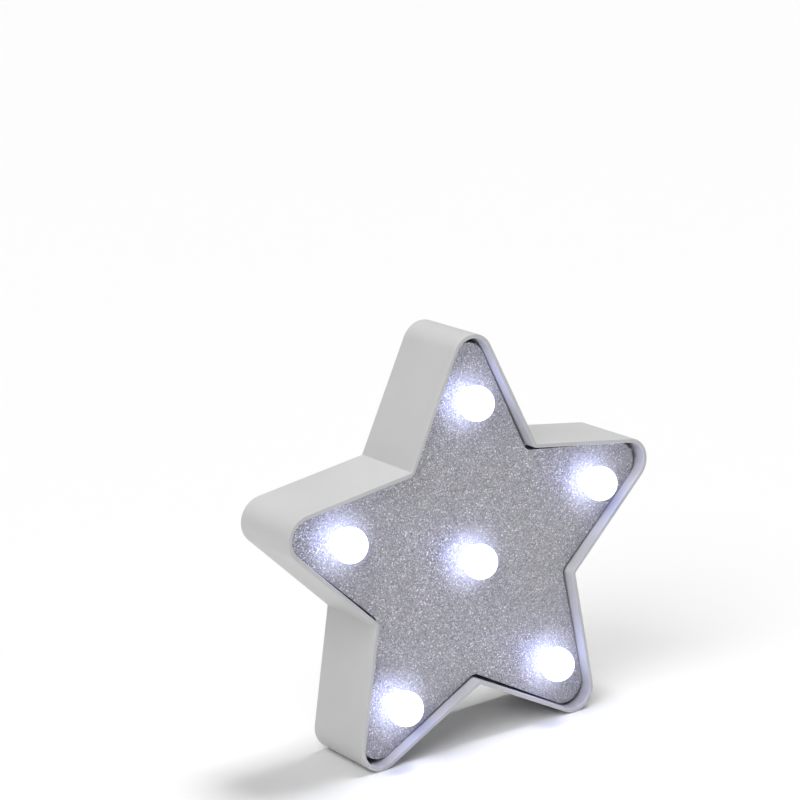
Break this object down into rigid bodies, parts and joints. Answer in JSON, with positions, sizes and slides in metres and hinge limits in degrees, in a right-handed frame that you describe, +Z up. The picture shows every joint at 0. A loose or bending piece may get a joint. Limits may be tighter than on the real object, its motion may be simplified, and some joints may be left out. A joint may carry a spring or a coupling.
{
  "type": "star marquee light",
  "caption": "Hollow five-pointed star light that stands or hangs, with a glitter face set back in a thin rim, round frosted globes, a battery bay and a slide switch at the back.",
  "frame": {"origin": "bottom centre of the bounding box: on the surface that the two lower tips stand on, halfway along the width and the whole depth", "axes": "+X to the right as seen from the front, +Y to the back, +Z up"},
  "size_m": [0.162, 0.039, 0.1549],
  "materials": {
    "shell": "satin moulded plastic, pale grey",
    "door": "satin moulded plastic, pale grey, same as the cover",
    "glitter_paper": "grey-lilac paper coated with fine silver glitter",
    "face_board": "pressed grey board",
    "foam": "double-sided foam tape",
    "screw_steel": "zinc plated",
    "globe": "frosted white, lit from inside",
    "socket": "white moulded plastic",
    "led": "clear epoxy, lit",
    "lead_wire": "tinned steel legs",
    "solder": "dull solder",
    "cell": "printed plastic sleeve over a steel can",
    "contact": "nickel plated spring steel",
    "switch_steel": "tin plated",
    "switch_base": "brown phenolic board",
    "knob": "black moulded plastic",
    "resistor": "buff lacquer",
    "red_wire": "red PVC insulation",
    "black_wire": "black PVC insulation"
  },
  "bodies": {
    "body": {"back_cover": "shell", "bridge_contact": "contact", "bridge_spring": "contact", "cell_lower": "cell", "cell_upper": "cell", "cover_screws": "screw_steel", "face_board": "face_board", "face_pads": "foam", "glitter_sheet": "glitter_paper", "globe_centre": "globe", "globe_lower_left": "globe", "globe_lower_right": "globe", "globe_top": "globe", "globe_upper_left": "globe", "globe_upper_right": "globe", "housing": "shell", "led_centre": "led", "led_leads": "lead_wire", "led_lower_left": "led", "led_lower_right": "led", "led_top": "led", "led_upper_left": "led", "led_upper_right": "led", "minus_contact": "contact", "minus_spring": "contact", "plus_contact": "contact", "resistor": "resistor", "socket_centre": "socket", "socket_lower_left": "socket", "socket_lower_right": "socket", "socket_top": "socket", "socket_upper_left": "socket", "socket_upper_right": "socket", "solder_beads": "solder", "switch_base": "switch_base", "switch_can": "switch_steel", "switch_screws": "screw_steel", "switch_terminals": "switch_steel", "wire_cell_to_leds": "black_wire", "wire_cell_to_switch": "red_wire", "wire_resistor_to_leds": "red_wire", "wire_switch_to_resistor": "red_wire", "wires_minus": "black_wire", "wires_plus": "red_wire"},
    "battery_door": {"battery_door": "door"},
    "switch_slider": {"switch_knob": "knob", "switch_clip": "switch_steel"}
  },
  "joints": [
    {"name": "door_hinge", "type": "hinge", "parent": "body", "child": "battery_door", "pos_m": [0, 0.0195, 0.08671], "axis": [1, 0, 0], "range_deg": [0, 60]},
    {"name": "switch_slide", "type": "slide", "parent": "body", "child": "switch_slider", "axis": [1, 0, 0], "range_m": [0, 0.0025]}
  ]
}
